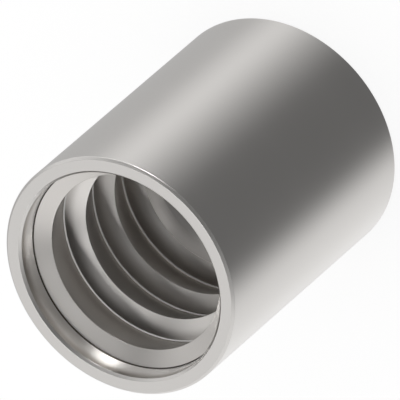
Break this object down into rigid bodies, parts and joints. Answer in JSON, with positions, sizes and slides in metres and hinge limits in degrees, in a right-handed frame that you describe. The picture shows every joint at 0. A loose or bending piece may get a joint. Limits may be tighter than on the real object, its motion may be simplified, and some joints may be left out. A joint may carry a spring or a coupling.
{
  "type": "crimp hose ferrule",
  "caption": "Turned steel sleeve crimped over a hydraulic hose and its stem, with a collar recess at the mouth and saw-tooth gripping ribs in the bore.",
  "frame": {"origin": "centre of the hose-end face, on the bore axis", "axes": "+Z along the bore axis from the hose end to the mouth; the part stands on its hose end"},
  "size_m": [0.028, 0.028, 0.035],
  "materials": {
    "turned_steel": "fine-turned bright steel, satin, unplated look"
  },
  "bodies": {
    "root": {"ferrule_sleeve": "turned_steel"}
  },
  "joints": []
}
